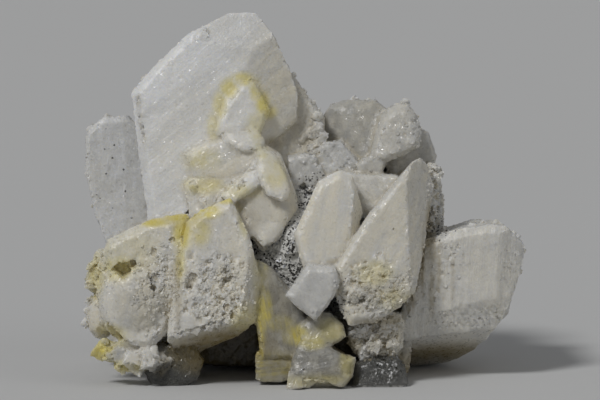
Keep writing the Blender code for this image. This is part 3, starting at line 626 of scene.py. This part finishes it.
def white_crystal_material(name, scatter):
    """Milky crystal. Scatter is how far light spreads inside it, in metres."""
    material, tree, shader = new_finish(name)
    where = add(tree, "ShaderNodeTexCoord", out="Object")
    along = reading(tree, "along", "Vector")

    def shared_cloud(scale, detail=4.0, at=where):
        return cloud(at, scale, detail, 0.55)

    soft, middle = shared_cloud(SOFT_SCALE), shared_cloud(MIDDLE_SCALE)
    fine = shared_cloud(FINE_SCALE, 3.0)
    bands = shared_cloud(BAND_SCALE, 3.0, vector_calc("MULTIPLY", along, (1.0, 0.5, 0.12)))
    line_place = vector_calc("MULTIPLY", along, (1.0, 0.6, 0.06))

    cream = plus(reading(tree, "cream"), times(minus(soft, 0.5), 0.9))
    colour = blend(remap(cream, 0.0, 1.0, style="LINEAR"), NEUTRAL, CREAM)
    veil = times(remap(bands, 0.38, 0.66), 0.55)
    veil = plus(veil, times(remap(middle, 0.4, 0.75), 0.30))
    colour = blend(veil, colour, VEIL)
    # Painted highlight: near the sharp edges the colour is mixed towards a brighter white.
    rim_highlight = times(reading(tree, "rim_highlight"), remap(middle, 0.35, 0.6, 0.1, 0.7))
    colour = blend(rim_highlight, colour, RIM_HIGHLIGHT_WHITE)

    # Grey: clearer crystals, and painted shade that makes the low crystals nearly black.
    grey_and_shade = reading(tree, "grey_and_shade")
    least = calc("MAXIMUM", grey_and_shade, 0.65)
    grey_and_shade = times(grey_and_shade, remap(middle, 0.25, 0.6, least, 1.0))
    colour = blend(grey_and_shade, colour, CLEAR_GREY_AND_SHADE)
    # Painted shade: points in hollows are mixed towards tan, more in the pitted places.
    pit_shade_strength = plus(times(reading(tree, "pitted"), 0.35), 0.2)
    hollow_shade = times(remap(reading(tree, "hollow_shade"), 0.60, 1.0), pit_shade_strength)
    colour = blend(hollow_shade, colour, HOLLOW_SHADE_TAN)

    ragged = plus(times(soft, 0.6), times(middle, 0.6))
    yellow = times(reading(tree, "yellow"), remap(ragged, 0.40, 0.68, 0.30, 1.0))
    fibres = remap(shared_cloud(FIBRE_SCALE, 2.0, line_place), 0.36, 0.60, 0.75, 0.0)
    fibres = times(fibres, minus(reading(tree, "ribs"), 0.3))
    yellow = times(yellow, minus(1.0, calc("MAXIMUM", fibres, 0.0)))
    colour = blend(times(yellow, 0.95), colour, YELLOW_STAIN)
    # Tan: stain, and painted shade under the blocks and near the floor.
    tan_and_shade = times(reading(tree, "tan_and_shade"), remap(ragged, 0.40, 0.70, 0.50, 1.0))
    colour = blend(times(tan_and_shade, 0.9), colour, TAN_STAIN_AND_SHADE)

    grains = cell_colour(where, SPECK_SCALE)
    rate = minus(1.0, times(reading(tree, "specked"), 0.22))
    specks = calc("GREATER_THAN", colour_parts(grains)[0], rate)
    colour = blend(times(specks, 0.9), colour, DARK_SPECK)
    tree.links.new(colour, shader.inputs["Base Color"])

    facets = cell_colour(where, FACET_SCALE)
    glassy = calc("GREATER_THAN", colour_parts(facets)[1], GLASSY_ABOVE)
    rough = minus(remap(middle, 0.3, 0.7, 0.34, 0.52), times(glassy, 0.22))
    rough = times(rough, minus(1.0, times(grey_and_shade, 0.45)))
    tree.links.new(rough, shader.inputs["Roughness"])
    fill(shader, {"IOR": 1.57, "Subsurface Weight": 0.7 if scatter else 0.0})
    fill(shader, {"Subsurface Radius": (1.0, 0.92, 0.75), "Subsurface Scale": scatter})

    ribbed = plus(reading(tree, "ribs"), 0.2)
    relief = times(shared_cloud(LINE_SCALE, 2.0, line_place), ribbed)
    relief = plus(relief, times(fine, 0.9))
    bump = add(tree, "ShaderNodeBump", {"Height": relief, "Strength": 0.6, "Distance": 0.3 * MM})
    sugar = reading(tree, "sugar")
    tilt = plus(times(sugar, 0.13), 0.02)
    tilt = plus(tilt, remap(sugar, 0.6, 1.0, 0.0, 0.16))
    tilt = times(tilt, plus(1.0, times(glassy, 1.5)))
    tree.links.new(tipped_facets(facets, tilt, bump), shader.inputs["Normal"])
    return material


white_finish = white_crystal_material("white_crystal_finish", 1.1 * MM)
crust_finish = white_crystal_material("sugary_crust_finish", 0.0)
print("The white finish has", len(white_finish.node_tree.nodes), "nodes")

# %% [markdown]
# ## The grown skin
#
# Real crystal faces are never quite flat: they carry low waves, thin terraces where one layer stopped, ribs
# along the growth, and a sugary skin, and their edges are finely toothed. A voxel remesh gives the fused
# solid an even, fine net. Geometry Nodes then move each point along its normal by the sum of those reliefs,
# all read in the crystal's own directions, so that the pattern changes where one crystal meets the next.

# %% The relief of a crystal face
VOXEL = 0.00050
SKIN_TRIANGLES = 197000
RELIEF = {
    "Wave height": 0.00035, "Wave length": 0.016, "Terrace height": 0.00030, "Terrace length": 0.012,
    "Ledge height": 0.00110, "Ledge size": 0.0085, "Block height": 0.00030, "Block size": 0.0036,
    "Rib height": 0.00022, "Rib spacing": 0.0016, "Sugar height": 0.00015, "Sugar size": 0.0009,
    "Tooth height": 0.00036, "Tooth size": 0.0011, "Pit depth": 0.0011, "Pit spacing": 0.0026,
    "Crumb height": 0.00035, "Crumb size": 0.0013,
}
EVEN = (1.0, 1.0, 1.0)


def relief_tree(finish):
    """Moves every point along its normal. The crystal's own directions come in the attribute 'along'."""
    tree, sizes, known = shape_tree("crystal_relief", RELIEF)
    size = sizes.outputs
    along = named(tree, "along", "FLOAT_VECTOR")
    read = ("steps", "ribs", "sugar", "edge", "pitted")
    steps, ribs, sugar, edge, pits = (named(tree, name) for name in read)

    def scaled(length, stretch):
        shrunk = vector_calc("SCALE", along, calc("DIVIDE", 1.0, length))
        return vector_calc("MULTIPLY", shrunk, stretch)

    def noise(length, detail, stretch=EVEN, rough=0.5, scale=1.0):
        return minus(cloud(scaled(length, stretch), scale, detail, rough), 0.5)

    def cells(length, out, stretch=EVEN, detail=0.0):
        inputs = {"Vector": scaled(length, stretch), "Scale": 1.0, "Detail": detail}
        return add(tree, "ShaderNodeTexVoronoi", inputs, out=out, distance="CHEBYCHEV")

    def random_cells(length, stretch=EVEN):
        number = add(tree, "ShaderNodeSeparateXYZ", {0: cells(length, "Color", stretch)})
        return minus(number, 0.5)

    layers = [times(noise(size["Wave length"], 3.0), size["Wave height"], 2.0)]
    terrace = times(noise(size["Terrace length"], 4.0, (1.0, 1.0, 0.4), 0.55), 8.0)
    layers.append(times(calc("SNAP", terrace, 1.0), size["Terrace height"], steps))
    stepped = calc("MAXIMUM", minus(steps, 0.45), 0.0)
    ledges = times(random_cells(size["Ledge size"], (1.0, 1.0, 0.5)), stepped)
    layers.append(times(ledges, size["Ledge height"], 2.0))
    blocks = random_cells(size["Block size"], (1.0, 1.0, 0.6))
    layers.append(times(blocks, size["Block height"], steps, 2.0))
    lines = noise(size["Rib spacing"], 2.0, (1.0, 0.6, 0.05), 0.6)
    layers.append(times(lines, size["Rib height"], ribs, 3.0))
    grain = minus(0.45, cells(size["Sugar size"], "Distance", detail=1.0))
    layers.append(times(grain, size["Sugar height"], plus(sugar, 0.15)))
    teeth = minus(random_cells(size["Tooth size"]), 0.2)
    layers.append(times(teeth, size["Tooth height"], 2.0, edge))
    reach = plus(times(noise(size["Pit spacing"], 3.0, scale=0.7), 0.9), 0.25)
    depth = minus(cells(size["Pit spacing"], "Distance", (1.0, 1.0, 0.8)), reach)
    layers.append(times(remap(depth, -0.12, 0.04, -1.0, 0.0), size["Pit depth"], pits))
    layers.append(times(random_cells(size["Crumb size"]), size["Crumb height"], pits, 2.0))

    height = layers[0]
    for layer in layers[1:]:
        height = plus(height, layer)
    height = times(height, named(tree, "free"))
    offset = vector_calc("SCALE", add(tree, "GeometryNodeInputNormal"), height)
    moved = add(tree, "GeometryNodeSetPosition", {"Geometry": size["Geometry"], "Offset": offset})
    close_tree(tree, moved, finish)
    return tree, known


# %% Helpers for fine meshes
def points_of(mesh):
    """The vertices of a mesh as an array in metres."""
    points = np.empty(3 * len(mesh.vertices), dtype=np.float32)
    mesh.vertices.foreach_get("co", points)
    return points.reshape(-1, 3).astype(float)


def set_points(mesh, points):
    """Moves the vertices of a mesh."""
    mesh.vertices.foreach_set("co", points.astype(np.float32).ravel())
    mesh.update()


def set_attribute(mesh, name, values, kind="FLOAT"):
    """Stores one value for each vertex under a name."""
    if name in mesh.attributes:
        mesh.attributes.remove(mesh.attributes[name])
    mesh.attributes.new(name, kind, "POINT")
    key = "vector" if kind == "FLOAT_VECTOR" else "value"
    mesh.attributes[name].data.foreach_set(key, np.asarray(values, dtype=np.float32).ravel())


def with_modifier(obj, kind, **settings):
    """The mesh that one modifier makes of an object."""
    modifier = obj.modifiers.new(kind.lower(), kind)
    for name, value in settings.items():
        setattr(modifier, name, value)
    return mesh_through(obj, modifier)


def relaxed(mesh, points, weight, rounds):
    """The points after each has moved towards the middle of its neighbours by its weight, several times."""
    edges = np.empty(2 * len(mesh.edges), dtype=np.int32)
    mesh.edges.foreach_get("vertices", edges)
    a, b = edges.reshape(-1, 2).T
    total = len(points)
    count = np.maximum(np.bincount(a, minlength=total) + np.bincount(b, minlength=total), 1)
    weight = np.broadcast_to(weight, total)
    for _ in range(rounds):
        middle = np.zeros_like(points)
        for axis in range(3):
            middle[:, axis] = np.bincount(a, points[b, axis], total) + np.bincount(b, points[a, axis], total)
        points = points + weight[:, None] * (middle / count[:, None] - points)
    return points


def keep_in_box(points):
    """Holds every point inside the CAD box, so the pieces have the solid's size."""
    return np.clip(points, np.array(cad_box[0]), np.array(cad_box[1]))


SEEN_FROM, SEEN_DEPTH = place(0, 2, 0)[1], 30 * MM


def seen_share(points):
    """1 where the front view sees the surface well, less at the sides and back, with their coarser net."""
    return np.clip(1.0 - (points[:, 1] - SEEN_FROM) / SEEN_DEPTH, 0.0, 1.0)


# %% [markdown]
# ## What the finish needs to know
#
# The crystals' traits, the stains, the painted shade and the hollows are stored on the points of a mesh, so
# that the finish can read them. A hollow is a point that lies below the middle of its neighbours: the finish
# paints shade there, and paints the sharp edges brighter as a highlight.

# %% Store the traits, stains, painted shade and hollows
CREASE_TAN_BACK, CREASE_TAN_LESS = 0.60, 0.45
HIDDEN_STEPS = 1.25
HOLLOW_ROUNDS, HOLLOW_DEPTH = 3, 0.5 * MM
PATTERN_SHIFT = 13 * MM


def hollow_shade_of(mesh):
    """How far each point lies under its neighbours, as 0 to 1, with 0.5 on flat ground: where the finish
    paints shade.
    """
    points = points_of(mesh)
    normals = np.empty(3 * len(points), dtype=np.float32)
    mesh.vertices.foreach_get("normal", normals)
    away = relaxed(mesh, points, 1.0, HOLLOW_ROUNDS) - points
    depth = np.einsum("ni,ni->n", away, normals.reshape(-1, 3))
    return np.clip(0.5 + depth / HOLLOW_DEPTH, 0.0, 1.0)


def store_traits(mesh):
    """Writes each point's directions, traits and patches. Returns the number of its crystal."""
    points = points_of(mesh)
    crystal = crystal_at(points)
    along = np.einsum("nij,nj->ni", turns[crystal], points) + PATTERN_SHIFT * crystal[:, None]
    set_attribute(mesh, "along", along, "FLOAT_VECTOR")
    own = dict(zip(TRAITS, traits[crystal].T))
    seen = seen_share(points)
    set_attribute(mesh, "steps", own["steps"] * seen + HIDDEN_STEPS * (1 - seen))
    set_attribute(mesh, "ribs", own["ribs"])
    for name, patches in (("yellow", YELLOW), ("specked", SPECKED), ("pitted", PITTED)):
        set_attribute(mesh, name, patch_mask(points, patches))
    # Creases get a darker tan, stronger at the back than in front.
    crease_tan = (CREASE_TAN_BACK - CREASE_TAN_LESS * seen) * nearness(creases, points, CREASE_WIDTH)
    # The tan patches are partly stain and partly painted shade under the blocks and near the floor.
    set_attribute(mesh, "tan_and_shade", np.maximum(patch_mask(points, TAN_AND_SHADE), crease_tan))
    # Grey patches are partly clearer crystal and partly painted shade in the deep nooks and on the feet.
    for name, patches in (("cream", CREAMY), ("grey_and_shade", GREY_AND_SHADE), ("sugar", GLINTING)):
        set_attribute(mesh, name, np.maximum(own[name], patch_mask(points, patches)))
    return crystal


# %% Remesh the solid, raise the relief and thin the net
THIN_BACK, THIN_STRENGTH = 0.8, 4.0
WAX_ROUNDS = 12
SHARP_FROM = math.radians(32)
FREE_FROM = 2 * MM


def grown_skin():
    """The fused crystals as one fine mesh with their relief."""
    start = bpy.data.meshes.new("white_crystal_skin")
    solid.to_mesh(start)
    skin = linked("white_crystal_skin", start)
    skin.data = with_modifier(skin, "REMESH", mode="VOXEL", voxel_size=VOXEL)
    points = points_of(skin.data)
    points = relaxed(skin.data, points, patch_mask(points, WAXY), WAX_ROUNDS)
    set_points(skin.data, points)
    store_traits(skin.data)
    set_attribute(skin.data, "edge", nearness(sharp_edges, points, EDGE_WIDTH))
    set_attribute(skin.data, "free", np.clip(points[:, 2] / FREE_FROM, 0.0, 1.0))
    tree, known = relief_tree(white_finish)
    skin.data = grown(skin, tree, known, RELIEF)
    points = keep_in_box(points_of(skin.data))
    set_points(skin.data, points)
    print("The skin has", len(points), "points before it is thinned")

    group = skin.vertex_groups.new(name="thin_here")
    weight = np.round(1.0 - THIN_BACK * seen_share(points), 1)
    for level in np.unique(weight):
        group.add([int(i) for i in np.flatnonzero(weight == level)], float(level), "REPLACE")
    triangles = 2 * len(skin.data.polygons)
    if triangles > SKIN_TRIANGLES:
        skin.data = with_modifier(
            skin, "DECIMATE", ratio=SKIN_TRIANGLES / triangles, use_collapse_triangulate=True,
            vertex_group="thin_here", vertex_group_factor=THIN_STRENGTH,
        )
    skin.vertex_groups.clear()
    set_points(skin.data, keep_in_box(points_of(skin.data)))
    for spent in ("edge", "free"):
        skin.data.attributes.remove(skin.data.attributes[spent])
    return skin


skin = grown_skin()
skin_crystal = store_traits(skin.data)
# Painted shade in the hollows, and a painted highlight along the sharp edges.
set_attribute(skin.data, "hollow_shade", hollow_shade_of(skin.data))
set_attribute(skin.data, "rim_highlight", nearness(sharp_edges, points_of(skin.data), EDGE_WIDTH))
skin.data.shade_smooth()
skin.data.set_sharp_from_angle(angle=SHARP_FROM)
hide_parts("white_crystals")
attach(skin, "root")
print("The skin has", len(skin.data.polygons), "faces")

# %% [markdown]
# ## The lump of ore
#
# The crystals grew on grey ore: pale carbonate grains with black sphalerite and bright galena between them.
# It shows in the gap between the blocks, and over a broad patch at the back. The CAD lump is remeshed and
# given a broken, grainy surface by Geometry Nodes, and its finish gives each grain a kind by its own random
# number.

# %% The ore's finish
ORE_GRAIN = 0.0006
ORE_PATCH_SCALE, ORE_FINE_SCALE = 260.0, 2200.0
PALE_GRAIN, DULL_GRAIN = (0.74, 0.735, 0.70, 1.0), (0.46, 0.455, 0.44, 1.0)
DARK_GRAIN, BRIGHT_GRAIN = (0.040, 0.037, 0.035, 1.0), (0.46, 0.47, 0.50, 1.0)
BRIGHT_ABOVE = 0.93


def ore_material():
    """Pale grains, dark sphalerite and bright galena."""
    material, tree, shader = new_finish("ore_finish")
    where = add(tree, "ShaderNodeTexCoord", out="Object")
    grain = cell_colour(where, 1 / ORE_GRAIN)
    kind, tone = colour_parts(grain)[:2]
    pale = blend(tone, PALE_GRAIN, DULL_GRAIN)
    dark_share = remap(cloud(where, ORE_PATCH_SCALE, 4.0), 0.40, 0.66, 0.06, 0.55)
    bright = calc("GREATER_THAN", kind, BRIGHT_ABOVE)
    colour = blend(calc("LESS_THAN", kind, dark_share), pale, DARK_GRAIN)
    tree.links.new(blend(bright, colour, BRIGHT_GRAIN), shader.inputs["Base Color"])
    tree.links.new(bright, shader.inputs["Metallic"])
    tree.links.new(remap(tone, 0.0, 1.0, 0.30, 0.60), shader.inputs["Roughness"])
    fine = cloud(where, ORE_FINE_SCALE, 3.0)
    bump = add(tree, "ShaderNodeBump", {"Height": fine, "Strength": 0.5, "Distance": 0.3 * MM})
    tree.links.new(tipped_facets(grain, 0.2, bump), shader.inputs["Normal"])
    return material


# %% The ore's broken surface
ORE_RELIEF = {"Lump height": 0.0012, "Lump size": 0.005, "Grain height": 0.0005, "Grain size": 0.0011}
ORE_VOXEL = 0.00050
ORE_TRIANGLES = 120000


def ore_tree(finish):
    """Raises and sinks each lump and each grain of the surface by its own amount."""
    tree, sizes, known = shape_tree("ore_relief", ORE_RELIEF)
    size = sizes.outputs
    where = add(tree, "GeometryNodeInputPosition")

    def random_cells(length):
        cells = cell_colour(where, calc("DIVIDE", 1.0, length))
        return add(tree, "ShaderNodeSeparateXYZ", {0: cells})

    lumps = times(minus(random_cells(size["Lump size"]), 0.8), size["Lump height"])
    grains = times(minus(random_cells(size["Grain size"]), 0.6), size["Grain height"])
    height = plus(lumps, grains)
    offset = vector_calc("SCALE", add(tree, "GeometryNodeInputNormal"), height)
    moved = add(tree, "GeometryNodeSetPosition", {"Geometry": size["Geometry"], "Offset": offset})
    close_tree(tree, moved, finish)
    return tree, known


def rough_ore():
    """The lump of ore with its broken surface."""
    ore = object_of("ore_lump", merged_copy("galena_sphalerite_ore"))
    ore.data = with_modifier(ore, "REMESH", mode="VOXEL", voxel_size=ORE_VOXEL)
    tree, known = ore_tree(ore_finish)
    ore.data = grown(ore, tree, known, ORE_RELIEF)
    triangles = 2 * len(ore.data.polygons)
    if triangles > ORE_TRIANGLES:
        share = ORE_TRIANGLES / triangles
        ore.data = with_modifier(ore, "DECIMATE", ratio=share, use_collapse_triangulate=True)
    return ore


ore_finish = ore_material()
ore = rough_ore()
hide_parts("galena_sphalerite_ore")
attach(ore, "root")
print("The ore has", len(ore.data.polygons), "faces")

# %% [markdown]
# ## The sugary crust
#
# Over the rough parts of the crystals, and along their edges, sit thousands of tiny rhombs, which give the
# broken outline and the glints. Geometry Nodes scatter them: points on the skin where it is sugary, and on
# each one small rhomb, turned nearly the way its crystal grew. The front gets fine ones, and the back fewer
# and larger ones.

# %% Scatter small rhombs
FRONT_CRUST = {
    "Spacing": 0.0007, "Density": 1.4e6, "Smallest": 0.0003, "Largest": 0.0009, "Stray": 0.35, "Seed": 4,
}
BACK_CRUST = {
    "Spacing": 0.0010, "Density": 0.9e6, "Smallest": 0.0004, "Largest": 0.0014, "Stray": 0.35, "Seed": 9,
}
HIDDEN_EDGE_CRUST = 0.6
CRUST_FROM = 1.5 * MM
# The crust's even amounts of painted shade and painted highlight.
CRUST_HOLLOW_SHADE, CRUST_RIM_HIGHLIGHT = 0.45, 0.2
RHOMB_LEAN = 0.2
SIZE_SEED, SIZE_POWER = 11, 2.5


def rhomb_to_repeat():
    """One cleavage rhomb, one unit across."""
    form = bmesh.new()
    bmesh.ops.create_cube(form, size=1.0)
    for vert in form.verts:
        x, y, z = vert.co
        vert.co = (x + RHOMB_LEAN * z, y + RHOMB_LEAN * x, z + RHOMB_LEAN * y)
    return object_of("crust_rhomb", form)


def crust_tree(sizes_given, shape, finish):
    """Scatters a shape over a mesh, denser where the attribute 'crust' is high, turned by 'crust_turn'."""
    tree, sizes, known = shape_tree("sugary_crust", sizes_given)
    size = sizes.outputs
    points = add(tree, "GeometryNodeDistributePointsOnFaces", distribute_method="POISSON")
    scatter = points.node
    for title, given in (
        ("Mesh", size["Geometry"]), ("Distance Min", size["Spacing"]), ("Density Max", size["Density"]),
        ("Density Factor", named(tree, "crust")), ("Seed", size["Seed"]),
    ):
        tree.links.new(given, scatter.inputs[title])
    low, high = (
        add(tree, "ShaderNodeCombineXYZ", {axis: most for axis in range(3)})
        for most in (times(size["Stray"], -1.0), size["Stray"])
    )
    random = {0: low, 1: high, "Seed": size["Seed"]}
    turn = add(tree, "FunctionNodeRandomValue", random, data_type="FLOAT_VECTOR")
    turn = vector_calc("ADD", turn, named(tree, "crust_turn", "FLOAT_VECTOR"))
    random = {2: 0.0, 3: 1.0, "Seed": SIZE_SEED}
    chance = add(tree, "FunctionNodeRandomValue", random, out=1, data_type="FLOAT")
    spread = minus(size["Largest"], size["Smallest"])
    side = plus(size["Smallest"], times(calc("POWER", chance, SIZE_POWER), spread))
    source = add(tree, "GeometryNodeObjectInfo", {"Object": shape}, out="Geometry")
    inputs = {"Points": points, "Instance": source, "Rotation": turn, "Scale": side}
    close_tree(tree, add(tree, "GeometryNodeInstanceOnPoints", inputs), finish)
    return tree, known


def scattered(host, name, sizes_given, shape, finish, dense, turn):
    """Small copies of a shape on a host's skin. Dense and turn hold a value for each point of the host."""
    set_attribute(host.data, "crust", dense)
    set_attribute(host.data, "crust_turn", turn, "FLOAT_VECTOR")
    tree, known = crust_tree(sizes_given, shape, finish)
    piece = linked(name, grown(host, tree, known, sizes_given))
    for spent in ("crust", "crust_turn"):
        host.data.attributes.remove(host.data.attributes[spent])
    set_points(piece.data, keep_in_box(points_of(piece.data)))
    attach(piece, "root")
    print(name, "has", len(piece.data.polygons), "faces")
    return piece


def crust_piece(name, sizes_given, share):
    """Tiny rhombs on the skin. Share says for each point how much of the crust belongs to this piece."""
    points = points_of(skin.data)
    sugar = traits[skin_crystal][:, TRAITS.index("sugar")]
    dense = np.maximum(patch_mask(points, PITTED), np.clip(2.2 * sugar - 1.3, 0, 1))
    hidden = HIDDEN_EDGE_CRUST * (1 - seen_share(points))
    along_edges = np.maximum(0.5 * np.clip(3 * sugar - 1.4, 0, 1), hidden)
    dense = np.maximum(dense, along_edges * nearness(sharp_edges, points, EDGE_WIDTH))
    dense *= share * np.clip(points[:, 2] / CRUST_FROM - 1, 0, 1)
    euler = np.array([Matrix(turn).transposed().to_euler() for turn in turns])
    piece = scattered(skin, name, sizes_given, rhomb_shape, crust_finish, dense, euler[skin_crystal])
    store_traits(piece.data)
    # The crust gets an even amount of painted shade and of painted highlight.
    for reading_name, value in (("hollow_shade", CRUST_HOLLOW_SHADE), ("rim_highlight", CRUST_RIM_HIGHLIGHT)):
        set_attribute(piece.data, reading_name, np.full(len(piece.data.vertices), value))
    return piece


rhomb_shape = rhomb_to_repeat()
front = seen_share(points_of(skin.data))
front_crust = crust_piece("front_crust", FRONT_CRUST, np.clip(2 * front - 0.4, 0, 1))
back_crust = crust_piece("back_crust", BACK_CRUST, np.clip(1 - 1.6 * front, 0, 1))
bpy.data.objects.remove(rhomb_shape, do_unlink=True)

# %% [markdown]
# ## Galena and sphalerite on the bare ore
#
# Where the ore lies bare at the back, larger grains stand out of it: small grey cubes of galena with cut
# corners, and dark resinous knots of sphalerite. The scatter of the crust places them too: only the shape,
# the sizes and the finish are new. The front keeps its fine grain.

# %% The two grains
GALENA_GRAINS = {
    "Spacing": 0.0022, "Density": 1.2e5, "Smallest": 0.0013, "Largest": 0.0052, "Stray": 3.1, "Seed": 21,
}
SPHALERITE_GRAINS = {
    "Spacing": 0.0014, "Density": 2.4e5, "Smallest": 0.0009, "Largest": 0.0032, "Stray": 3.1, "Seed": 22,
}
GALENA_CLUSTERS = [
    ((-8, 42, 42), (11, 14, 8), 1.0), ((15, 38, 38), (8, 14, 9), 0.9), ((2, 40, 26), (12, 14, 5), 0.6),
    ((30, 20, 44), (8, 14, 9), 0.7),
]
SPHALERITE_CLUSTERS = [
    ((4, 42, 50), (12, 14, 8), 1.0), ((-16, 38, 34), (9, 14, 9), 1.0), ((14, 38, 28), (10, 14, 6), 0.8),
    ((34, 16, 52), (8, 14, 8), 0.7), ((0, 38, 38), (30, 14, 24), 0.25),
]
BARE_GAP, BARE_FROM = 1.2 * MM, 12 * MM
CORNER_CUT = 0.16
TONE_SCALE, CLEAVAGE_SCALE = 900.0, 1500.0
LEAD_GREY, LEAD_BRIGHT = (0.30, 0.31, 0.34, 1.0), (0.48, 0.49, 0.53, 1.0)
RESIN_DARK, RESIN_BROWN = (0.035, 0.022, 0.014, 1.0), (0.10, 0.055, 0.028, 1.0)


def galena_cube():
    """A cube, one unit across, with its corners cut."""
    form = bmesh.new()
    bmesh.ops.create_cube(form, size=1.0)
    bmesh.ops.bevel(form, geom=form.verts, offset=CORNER_CUT, segments=1, affect="VERTICES")
    return object_of("galena_cube", form)


def sphalerite_knot():
    """A knot of a few flat faces, one unit across."""
    form = bmesh.new()
    bmesh.ops.create_icosphere(form, subdivisions=1, radius=0.5)
    dice = np.random.default_rng(KNOT_SEED)
    for vert in form.verts:
        vert.co *= dice.uniform(0.7, 1.15)
    return object_of("sphalerite_knot", form)


def grain_material(name, dark, light, metallic, roughness):
    """A grain's finish: two close tones in small patches, with fine cleavage lines."""
    material, tree, shader = new_finish(name)
    where = add(tree, "ShaderNodeTexCoord", out="Object")
    tone = cloud(where, TONE_SCALE, 3.0)
    tree.links.new(blend(remap(tone, 0.35, 0.65), dark, light), shader.inputs["Base Color"])
    tree.links.new(remap(tone, 0.3, 0.7, roughness, roughness + 0.18), shader.inputs["Roughness"])
    shader.inputs["Metallic"].default_value = metallic
    pattern = {"Vector": where, "Scale": CLEAVAGE_SCALE, "Distortion": 3.0, "Detail": 2.0}
    lines = add(tree, "ShaderNodeTexWave", pattern)
    bump = add(tree, "ShaderNodeBump", {"Height": lines, "Strength": 0.25, "Distance": 0.1 * MM})
    tree.links.new(bump, shader.inputs["Normal"])
    return material


def bare_share():
    """1 on the ore's points that lie bare at the back, 0 in the crystals' seat and in front."""
    points = points_of(ore.data)
    gap = np.array([solid_tree.find_nearest(point)[3] for point in points])
    return (gap > BARE_GAP) * np.clip(points[:, 1] / BARE_FROM, 0.0, 1.0)


bare = bare_share()
no_turn = np.zeros((len(bare), 3))
galena_finish = grain_material("galena_finish", LEAD_GREY, LEAD_BRIGHT, metallic=1.0, roughness=0.24)
sphalerite_finish = grain_material("sphalerite_finish", RESIN_DARK, RESIN_BROWN, metallic=0.0, roughness=0.22)
for name, sizes_given, clusters, make_shape, finish in (
    ("galena_cubes", GALENA_GRAINS, GALENA_CLUSTERS, galena_cube, galena_finish),
    ("sphalerite_grains", SPHALERITE_GRAINS, SPHALERITE_CLUSTERS, sphalerite_knot, sphalerite_finish),
):
    shape = make_shape()
    dense = bare * patch_mask(points_of(ore.data), clusters)
    scattered(ore, name, sizes_given, shape, finish, dense, no_turn)
    bpy.data.objects.remove(shape, do_unlink=True)

# %% Free the solid
solid.free()
